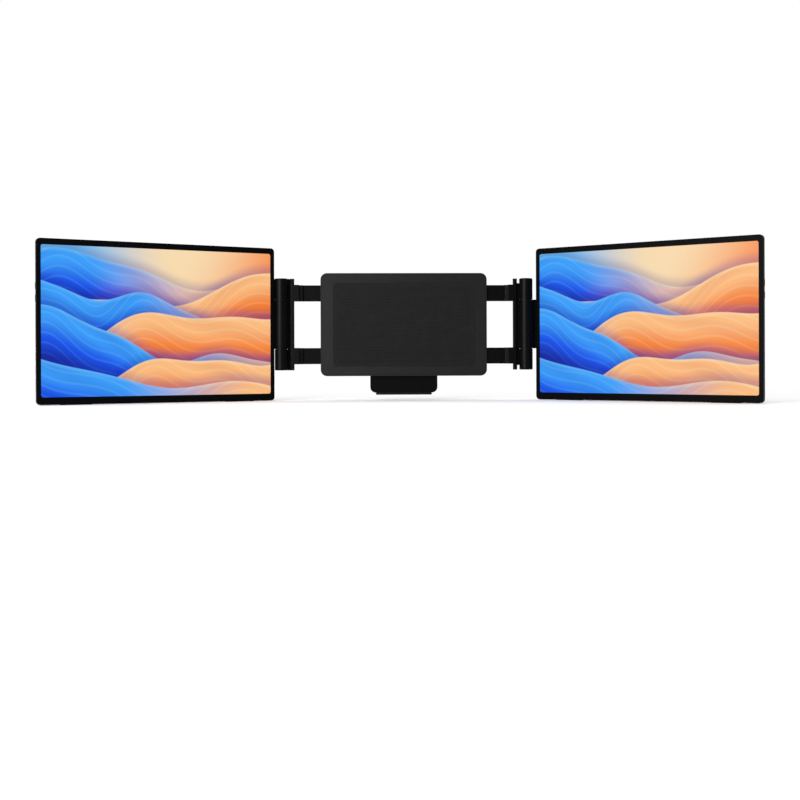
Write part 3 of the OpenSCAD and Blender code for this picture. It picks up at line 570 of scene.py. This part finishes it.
def softened(node, width, reshape=None):
    """Puts a finished piece in place of a node, its sharp edges broken by a small round."""
    piece = welded_copy(node, f"{node}_finished")
    if reshape:
        for corner in piece.data.vertices:
            corner.co = reshape(corner.co)
    piece.data.shade_smooth()
    piece.data.materials.append(material_for(slot_of(node)))
    bevel = piece.modifiers.new("edge_round", "BEVEL")
    bevel.width = width
    bevel.segments = ROUND_FACES
    bevel.limit_method = "ANGLE"
    bevel.angle_limit = SHARP_ANGLE
    bevel.use_clamp_overlap = True
    bevel.miter_outer = "MITER_ARC"
    normals = piece.modifiers.new("flat_faces_stay_flat", "WEIGHTED_NORMAL")
    normals.weight = AREA_WEIGHTED
    normals.keep_sharp = True
    plain_mesh(piece)
    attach(piece, body_of(node))
    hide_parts(node)


def finish_node(node, material):
    """Gives a CAD node its material and leaves its shape."""
    mesh = frame["nodes"][node].data
    mesh.materials.clear()
    mesh.materials.append(material)


# ---------------------------------------------------------------- settings shown in the sidebar

def colour_property(name, description, default):
    return bpy.props.FloatVectorProperty(name=name, description=description, default=default,
                                         subtype="COLOR", size=3, min=0, max=1)


def length_property(name, description, default_mm, highest_mm):
    return bpy.props.FloatProperty(name=name, description=description, default=default_mm * MM,
                                   min=0, max=highest_mm * MM, subtype="DISTANCE", unit="LENGTH",
                                   precision=5)


class FinishSettings(bpy.types.PropertyGroup):
    """Colours and textures of the housings, clamps and small parts."""
    casing: colour_property("Casing", "Colour of the textured rear covers",
                            (0.0065, 0.0068, 0.0075))
    bezel: colour_property("Bezel", "Colour of the frames round the displays",
                           (0.002, 0.002, 0.0024))
    clamp: colour_property("Clamp", "Colour of the anodised columns and hinge leaves",
                           (0.0012, 0.0012, 0.0015))
    arm: colour_property("Arm", "Colour of the painted slide arms and leg",
                         (0.0022, 0.0022, 0.0025))
    rubber: colour_property("Rubber", "Colour of the feet, liners and lid mat",
                            (0.007, 0.007, 0.0075))
    grain: length_property("Mould grain", "Size of the grains on the moulded covers", 0.16, 2)
    round_casing: length_property("Casing edges", "Round on the edges of the housings", 0.3, 2)
    round_metal: length_property("Metal edges", "Round on the edges of the clamps", 0.25, 2)
    round_small: length_property("Small edges", "Round on the edges of screws and liners", 0.08, 1)
    flange_gap: length_property("Flange gap", "Between the left flange and its knuckle", 0.15, 1)


class SocketSettings(bpy.types.PropertyGroup):
    """Sizes of the sockets' tongues and contacts."""
    contacts: bpy.props.IntProperty(name="Contacts", description="Pins on each face of a tongue",
                                    default=12, min=2, max=30)
    contact_pitch: length_property("Contact pitch", "From one pin to the next", 0.5, 2)
    contact_width: length_property("Contact width", "Of one pin", 0.26, 1)
    contact_length: length_property("Contact length", "Of one pin", 4.2, 6)
    contact_setback: length_property("Contact setback", "From the tongue's tip to the pins", 0.3, 2)
    tongue_width: length_property("Tongue width", "Of the black bar between the contacts", 6.64, 8)
    tongue_thickness: length_property("Tongue thickness", "Of the black bar", 0.76, 2)
    tongue_length: length_property("Tongue length", "Of the black bar", 5.55, 6)
    tongue_recess: length_property("Tongue recess", "From the socket's mouth to the tongue", 1.0, 3)


class MatSettings(bpy.types.PropertyGroup):
    """Sizes of the grip ribs on the lid mat."""
    rib_pitch: length_property("Rib pitch", "From one rib to the next", 4.0, 20)
    rib_width: length_property("Rib width", "Of one rib", 1.7, 10)
    rib_height: length_property("Rib height", "Of the ribs over the mat", 0.4, 1)
    rib_margin: length_property("Rib margin", "From the mat's edge to the ribs", 6.0, 30)


class PictureSettings(bpy.types.PropertyGroup):
    """Colours and brightness of the lit displays."""
    brightness: bpy.props.FloatProperty(name="Brightness", description="Light from the displays",
                                        default=1.0, min=0, max=10)
    dark_margin: length_property("Dark margin", "Unlit width round the picture", 0.35, 5)
    sky: colour_property("Sky", "Pale blue of the background", (0.16, 0.50, 0.87))
    azure: colour_property("Azure", "Light side of a blue sheet", (0.04, 0.34, 0.95))
    royal: colour_property("Royal blue", "Full colour of a blue sheet", (0.004, 0.085, 0.84))
    navy: colour_property("Navy", "Deep folds of a blue sheet", (0.002, 0.014, 0.33))
    cream: colour_property("Cream", "Pale middle of the background", (0.93, 0.70, 0.42))
    peach: colour_property("Peach", "Light side of an orange sheet", (0.96, 0.50, 0.21))
    orange: colour_property("Orange", "Full colour of an orange sheet", (0.93, 0.23, 0.035))
    ember: colour_property("Ember", "Deep folds of an orange sheet", (0.52, 0.075, 0.03))


class StageSettings(bpy.types.PropertyGroup):
    """Floor, lights and camera."""
    floor: colour_property("Floor", "Colour of the floor", (0.9, 0.9, 0.9))
    floor_radius: bpy.props.FloatProperty(name="Floor radius", default=3, min=1, max=100,
                                          subtype="DISTANCE", unit="LENGTH",
                                          description="Where the floor has faded away")
    focal_length: bpy.props.FloatProperty(name="Focal length", description="Of the camera",
                                          default=52.402, min=10, max=300, unit="CAMERA")
    front_light: bpy.props.FloatProperty(name="Front light", description="Sky before the object",
                                         default=0.22, min=0, max=10)
    back_light: bpy.props.FloatProperty(name="Back light", description="Sky behind the object",
                                        default=1.0, min=0, max=10)
    horizon: bpy.props.FloatProperty(name="Horizon", default=0.25, min=0, max=1,
                                     description="Share of the sky's light left at eye level")
    strip_power: bpy.props.FloatProperty(name="Strip light", description="Tall light at the left",
                                         default=48, min=0, max=1000, unit="POWER")
    top_strength: bpy.props.FloatProperty(name="Top light", default=1.45, min=0, max=100,
                                          description="Strength of the light from above")


class ExtenderSettings(bpy.types.PropertyGroup):
    """All settings of the screen extender."""
    finish: bpy.props.PointerProperty(type=FinishSettings, name="Finish",
                                      description="Colours and textures")
    picture: bpy.props.PointerProperty(type=PictureSettings, name="Picture",
                                       description="The lit displays")
    socket: bpy.props.PointerProperty(type=SocketSettings, name="Sockets",
                                      description="Tongues and contacts of the sockets")
    mat: bpy.props.PointerProperty(type=MatSettings, name="Lid mat",
                                   description="Grip ribs of the lid mat")
    stage: bpy.props.PointerProperty(type=StageSettings, name="Stage",
                                     description="Floor, lights and camera")


def sidebar():
    """The settings as they stand in the sidebar."""
    return bpy.context.scene.extender_settings


# ---------------------------------------------------------------- what the sidebar's buttons make

def material_for(slot):
    """The finish of a material slot, made once."""
    name = f"{slot}_finish"
    if name in bpy.data.materials:
        return bpy.data.materials[name]
    look = sidebar().finish
    made = {
        "casing_black": lambda: moulded_plastic(name, look.casing, look.grain),
        "bezel_black": lambda: moulded_plastic(name, look.bezel, look.grain * 0.6,
                                               roughness=0.4, gloss=0.02),
        "clamp_black": lambda: anodised_metal(name, look.clamp),
        "arm_black": lambda: painted_steel(name, look.arm),
        "rubber_black": lambda: rubber(name, look.rubber),
        "steel": lambda: turned_steel(name, STEEL_RGB),
        "black_steel": lambda: turned_steel(name, BLACK_STEEL_RGB, roughness=0.34),
        "diffuser": lambda: film_stack(name),
        "tray": lambda: turned_steel(name, TRAY_RGB, roughness=0.4),
        "board": lambda: solder_mask(name),
        "guide_grey": lambda: moulded_plastic(name, GUIDE_RGB, look.grain * 0.4,
                                               roughness=0.5),
        "gold": lambda: gold_plate(name),
    }
    return made[slot]()


class EXTENDER_OT_finish_small_parts(bpy.types.Operator):
    """Give every CAD part the finish of its material slot"""
    bl_idname = "extender.finish_small_parts"
    bl_label = "Finish small parts"

    def execute(self, context):
        for part in frame["record"]["subparts"]:
            if part["material_slot"] != "display":
                finish_node(part["node"], material_for(part["material_slot"]))
        return {"FINISHED"}


class EXTENDER_OT_light_displays(bpy.types.Operator):
    """Light both displays with the picture"""
    bl_idname = "extender.light_displays"
    bl_label = "Light the displays"

    def execute(self, context):
        for side in SIDES:
            finish_node(f"{side}_display", lit_display(side, sidebar().picture))
        return {"FINISHED"}


class EXTENDER_OT_finish_screens(bpy.types.Operator):
    """Round the edges of the screens' frames, covers, buttons, screws and feet"""
    bl_idname = "extender.finish_screens"
    bl_label = "Finish the screens"

    def execute(self, context):
        look = sidebar().finish
        for side in SIDES:
            for node in ("front_frame", "rear_cover", "power_button", "menu_button", "feet"):
                softened(f"{side}_{node}", look.round_casing)
            for node in ("screen_screws", "sockets"):
                softened(f"{side}_{node}", look.round_small)
        return {"FINISHED"}


class EXTENDER_OT_fit_socket_contacts(bpy.types.Operator):
    """Put a black tongue with two rows of gold contacts in every socket"""
    bl_idname = "extender.fit_socket_contacts"
    bl_label = "Fit the socket contacts"

    # Round of a tongue's corners, as a share of its thickness, and a pin's sides and flattening
    CORNER_SHARE, CORNER_FACES = 0.35, 4
    PIN_SIDES, PIN_HEIGHT = 8, 0.4

    def tongue(self, name, look, place):
        """Rounded black bar on the metal tongue, made with X along the screen."""
        g = Growth(name, Width=look.tongue_width, Thickness=look.tongue_thickness,
                   Length=look.tongue_length, Material=material_for("guide_grey"))
        outline = g.node("GeometryNodeCurvePrimitiveQuadrilateral", sockets={
            "Width": g.given("Width"), "Height": g.given("Thickness")}).outputs[0]
        rounded = g.node("GeometryNodeFilletCurve", {"mode": "POLY"}, {
            "Curve": outline, "Count": self.CORNER_FACES,
            "Radius": g.given("Thickness") * self.CORNER_SHARE}).outputs[0]
        bar = g.bar(rounded, -g.given("Length"), 0.0)
        return g.grown(g.painted(bar, g.given("Material")), place)

    def contacts(self, name, look, place):
        """Flattened gold pins side by side on both faces of a tongue."""
        g = Growth(name, Count=look.contacts, Pitch=look.contact_pitch,
                   Width=look.contact_width, Length=look.contact_length,
                   Lift=look.tongue_thickness / 2, Material=material_for("gold"))
        pin = g.bar(g.circle(g.given("Width"), self.PIN_SIDES), -g.given("Length"), 0.0)
        flat = g.moved(pin, scale=(1, self.PIN_HEIGHT, 1))
        row = g.repeated(g.row(g.given("Count"), g.given("Pitch")), flat)
        rows = g.joined(g.moved(row, by=g.vector(y=g.given("Lift"))),
                        g.moved(row, by=g.vector(y=-g.given("Lift"))))
        return g.grown(g.painted(rows, g.given("Material")), place)

    def execute(self, context):
        look = sidebar().socket
        for side in SIDES:
            low, high = screen_extent(side, "sockets")
            tip, middle = high[0] - look.tongue_recess, (low[1] + high[1]) / 2
            for mount in frame["record"]["mounts"]:
                name, height = mount["name"], mount["pos_m"][2]
                if not (name.startswith(side) and name.endswith("socket")):
                    continue
                tongue = self.tongue(f"{name}_tongue", look,
                                     screen_place(side, tip, middle, height))
                contacts = self.contacts(
                    f"{name}_contacts", look,
                    screen_place(side, tip - look.contact_setback, middle, height))
                for piece, slot in ((tongue, "guide_grey"), (contacts, "steel")):
                    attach(piece, f"{side}_screen")
        return {"FINISHED"}


class EXTENDER_OT_finish_clamps(bpy.types.Operator):
    """Break the edges of the columns, hinge leaves, caps, arms, liners and screws"""
    bl_idname = "extender.finish_clamps"
    bl_label = "Finish the clamps"

    # How far the flange's inner face may lie from the barrel, and slack at the knuckle's top
    FLANGE_REACH = 0.8 * MM
    TOP_SLACK = 0.1 * MM

    def flange_drawn_in(self, gap):
        """Draws the inner face of the left leaf's flange in to a gap from its knuckle."""
        axis, along, depth = screen_axes("left")
        lowest, _ = screen_extent("left", "leaf")
        barrel, knuckle_top = -lowest[0], -lowest[2] - self.TOP_SLACK

        def reshape(point):
            out, back = (point - axis).dot(along), (point - axis).dot(depth)
            if point.z < knuckle_top or not barrel < out < barrel + self.FLANGE_REACH:
                return point
            return point + along * (math.sqrt((barrel + gap) ** 2 - back ** 2) - out)
        return reshape

    def execute(self, context):
        look = sidebar().finish
        softened("left_leaf", look.round_metal, self.flange_drawn_in(look.flange_gap))
        softened("right_leaf", look.round_metal)
        for side in SIDES:
            for node in ("column", "upper_arm", "lower_arm", "hinge_caps"):
                softened(f"{side}_{node}", look.round_metal)
            for node in ("claw_liners", "arm_screws", "hinge_bushes", "stop_pins"):
                softened(f"{side}_{node}", look.round_small)
        return {"FINISHED"}


class EXTENDER_OT_finish_centre(bpy.types.Operator):
    """Round the edges of the centre unit, its guides, its screws and its leg"""
    bl_idname = "extender.finish_centre"
    bl_label = "Finish the centre unit"

    def execute(self, context):
        look = sidebar().finish
        for node in ("front_cover", "back_shell", "kickstand_foot"):
            softened(node, look.round_casing)
        softened("kickstand_leg", look.round_metal)
        for node in ("centre_screws", "kickstand_pin", "upper_guide", "lower_guide"):
            softened(node, look.round_small)
        return {"FINISHED"}


class EXTENDER_OT_rib_lid_mat(bpy.types.Operator):
    """Give the rubber mat that faces the lid its rows of grip ribs"""
    bl_idname = "extender.rib_lid_mat"
    bl_label = "Rib the lid mat"

    # Sides of a rib's outline, and its depth in rib heights, of which half lies in the mat
    RIB_SIDES, RIB_DEPTH = 12, 1.9

    def execute(self, context):
        look = sidebar().mat
        low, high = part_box("lid_mat")
        valley = low[1] + look.rib_height
        softened("lid_mat", sidebar().finish.round_small,
                 lambda point: Vector((point.x, max(point.y, valley), point.z)))
        margin = look.rib_margin
        count = int((high[2] - low[2] - 2 * margin) / look.rib_pitch) + 1
        g = Growth("lid_mat_ribs", Count=count, Pitch=look.rib_pitch, Width=look.rib_width,
                   Height=look.rib_height, Length=high[0] - low[0] - 2 * margin,
                   Material=material_for("rubber_black"))
        half = g.given("Length") * 0.5
        bar = g.bar(g.circle(g.given("Width"), self.RIB_SIDES), -half, half)
        flattening = g.given("Height") / g.given("Width") * self.RIB_DEPTH
        flat = g.moved(bar, scale=g.vector(1.0, flattening, 1.0))
        smooth = g.node("GeometryNodeSetShadeSmooth", sockets={
            "Geometry": flat, "Shade Smooth": True}).outputs[0]
        rows = g.repeated(g.row(g.given("Count"), g.given("Pitch")), smooth)
        ribs = g.grown(g.painted(rows, g.given("Material")),
                       Matrix.Translation((0, valley, (low[2] + high[2]) / 2)))
        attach(ribs, body_of("lid_mat"))
        return {"FINISHED"}


class EXTENDER_OT_set_stage(bpy.types.Operator):
    """Make the floor, the lights, the sky and the camera"""
    bl_idname = "extender.set_stage"
    bl_label = "Set the stage"

    # Floor: its sides, the gap below the feet, and where it fades, as shares of its radius
    FLOOR_SIDES = 96
    FLOOR_GAP = 0.1 * MM
    FADE = (0.25, 0.9)

    # Sky: where the light behind takes over from the light before, and the dark band's edges
    TURN_OF_LIGHT = (-0.6, 0.3)
    BAND = (0.05, 0.4)

    # Lights: size, place and aim of the strip, and spread of the light from above
    STRIP_SIZE, STRIP_PLACE, STRIP_AIM = (0.75, 1.3), (-1.0, -1.5, 0.1), (0, 0, 0)
    OVERHEAD_SPREAD = math.radians(100)

    # Camera: sensor width in millimetres, place, turn in degrees, shift and clipping
    SENSOR_MM = 36
    CAMERA_PLACE = (-0.03956, -1.65154, -0.05101)
    CAMERA_TURN = (90, 0.185, -1.604)
    CAMERA_SHIFT = (-0.0109, -0.0495)
    CAMERA_CLIP = (0.05, 100)

    def floor(self, look):
        """A pale floor below the feet that fades away far from the object."""
        bm = bmesh.new()
        bmesh.ops.create_circle(bm, cap_ends=True, segments=self.FLOOR_SIDES,
                                radius=look.floor_radius)
        mesh = bpy.data.meshes.new("floor")
        bm.to_mesh(mesh)
        bm.free()
        mesh.transform(Matrix.Translation((0, 0, CAD_BOX[0][2] - self.FLOOR_GAP)))
        m = Maker("floor_paint")
        patches = m.noise(m.place(), scale=1.4, detail=3.0)
        x, y, _ = m.split(m.place())
        reach = (x * x + y * y) ** 0.5 / look.floor_radius
        m.set(color=m.mixed(patches, shaded(look.floor, 0.97), opaque(look.floor)),
              roughness=0.5 + patches * 0.06, specular=0.0, alpha=1.0 - reach.ramp(*self.FADE))
        mesh.materials.append(m.material)
        made = bpy.data.objects.new("floor", mesh)
        bpy.context.scene.collection.objects.link(made)

    def sky(self, look):
        """Soft light from all round, and a white backdrop."""
        world = bpy.data.worlds.new("studio_sky")
        world.use_nodes = True
        bpy.context.scene.world = world
        nodes = NodeTree(world.node_tree)
        background = nodes.tree.nodes["Background"]
        nodes.feed(background.inputs["Color"], (1, 1, 1, 1))
        place = nodes.node("ShaderNodeTexCoord").outputs["Generated"]
        parts = nodes.node("ShaderNodeSeparateXYZ", sockets={0: place}).outputs
        ahead, height = Field(nodes, parts["Y"]), Field(nodes, parts["Z"])
        behind = ahead.ramp(*self.TURN_OF_LIGHT)
        light = look.front_light + behind * (look.back_light - look.front_light)
        # A dark band at eye level keeps the edges that are seen at a slant black
        band = look.horizon + height.absolute().ramp(*self.BAND) * (1.0 - look.horizon)
        # The backdrop itself is white from every side
        seen = Field(nodes, nodes.node("ShaderNodeLightPath").outputs["Is Camera Ray"])
        nodes.feed(background.inputs["Strength"], seen + (1.0 - seen) * light * band)

    def strip(self, look):
        """A tall light at the left, which draws the highlight on the barrels."""
        data = bpy.data.lights.new("left_strip", "AREA")
        data.shape = "RECTANGLE"
        data.size, data.size_y = self.STRIP_SIZE
        data.energy = look.strip_power
        made = bpy.data.objects.new("left_strip", data)
        bpy.context.scene.collection.objects.link(made)
        made.location = self.STRIP_PLACE
        towards = Vector(self.STRIP_AIM) - Vector(self.STRIP_PLACE)
        made.rotation_mode = "QUATERNION"
        made.rotation_quaternion = towards.to_track_quat("-Z", "Y")

    def overhead(self, look):
        """A wide even light from straight above, which reaches the whole floor."""
        data = bpy.data.lights.new("overhead", "SUN")
        data.angle = self.OVERHEAD_SPREAD
        data.energy = look.top_strength
        made = bpy.data.objects.new("overhead", data)
        bpy.context.scene.collection.objects.link(made)

    def camera(self, look):
        """The camera of the front view."""
        data = bpy.data.cameras.new("camera")
        data.sensor_width = self.SENSOR_MM
        data.lens = look.focal_length
        data.shift_x, data.shift_y = self.CAMERA_SHIFT
        data.clip_start, data.clip_end = self.CAMERA_CLIP
        made = bpy.data.objects.new("camera", data)
        bpy.context.scene.collection.objects.link(made)
        made.location = self.CAMERA_PLACE
        made.rotation_euler = [math.radians(turn) for turn in self.CAMERA_TURN]
        bpy.context.scene.camera = made

    def execute(self, context):
        look = sidebar().stage
        self.floor(look)
        self.sky(look)
        self.strip(look)
        self.overhead(look)
        self.camera(look)
        bpy.context.scene.view_settings.view_transform = "Standard"
        return {"FINISHED"}


class EXTENDER_PT_workshop(bpy.types.Panel):
    """Lists the settings and the steps in the order they are done"""
    bl_idname = "EXTENDER_PT_workshop"
    bl_label = "Screen extender"
    bl_space_type = "VIEW_3D"
    bl_region_type = "UI"
    bl_category = "Extender"

    def draw(self, context):
        chosen = context.scene.extender_settings
        for group in (chosen.finish, chosen.picture, chosen.socket, chosen.mat, chosen.stage):
            box = self.layout.box()
            for name in group.__annotations__:
                box.prop(group, name)
        for step in STEPS:
            self.layout.operator(step.bl_idname)


STEPS = (EXTENDER_OT_set_stage, EXTENDER_OT_finish_small_parts, EXTENDER_OT_light_displays,
         EXTENDER_OT_finish_screens, EXTENDER_OT_fit_socket_contacts, EXTENDER_OT_finish_clamps,
         EXTENDER_OT_finish_centre, EXTENDER_OT_rib_lid_mat)
CLASSES = (FinishSettings, PictureSettings, SocketSettings, MatSettings, StageSettings,
           ExtenderSettings, *STEPS, EXTENDER_PT_workshop)


def register():
    for part in CLASSES:
        bpy.utils.register_class(part)
    bpy.types.Scene.extender_settings = bpy.props.PointerProperty(
        type=ExtenderSettings, name="Screen extender", description="Settings of the looks")


def unregister():
    del bpy.types.Scene.extender_settings
    for part in reversed(CLASSES):
        bpy.utils.unregister_class(part)


def main():
    register()
    for step in STEPS:
        group, name = step.bl_idname.split(".")
        getattr(getattr(bpy.ops, group), name)()


if __name__ == "__main__":
    main()
